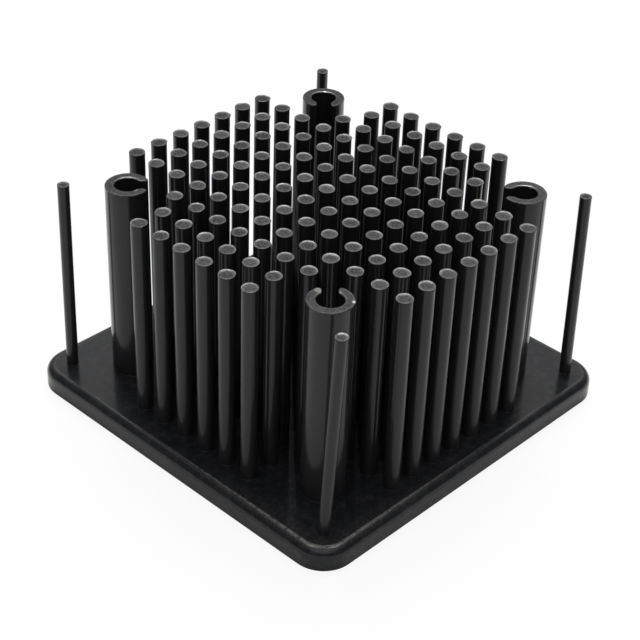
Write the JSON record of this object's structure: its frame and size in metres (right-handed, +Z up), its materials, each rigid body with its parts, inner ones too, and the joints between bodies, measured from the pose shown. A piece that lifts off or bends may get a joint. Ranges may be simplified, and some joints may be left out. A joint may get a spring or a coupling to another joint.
{
  "type": "pin fin heat sink",
  "caption": "Square black anodised pin fin heat sink with a flat base plate, staggered round pins and a split screw boss near each corner.",
  "frame": {"origin": "centre of the plate's underside", "axes": "+Z up along the pins; +X and +Y along the plate's sides"},
  "size_m": [0.07, 0.07, 0.0397],
  "materials": {
    "black_anodised": "satin black anodised, reflective along the pins"
  },
  "bodies": {
    "root": {"heat_sink": "black_anodised"}
  },
  "joints": []
}
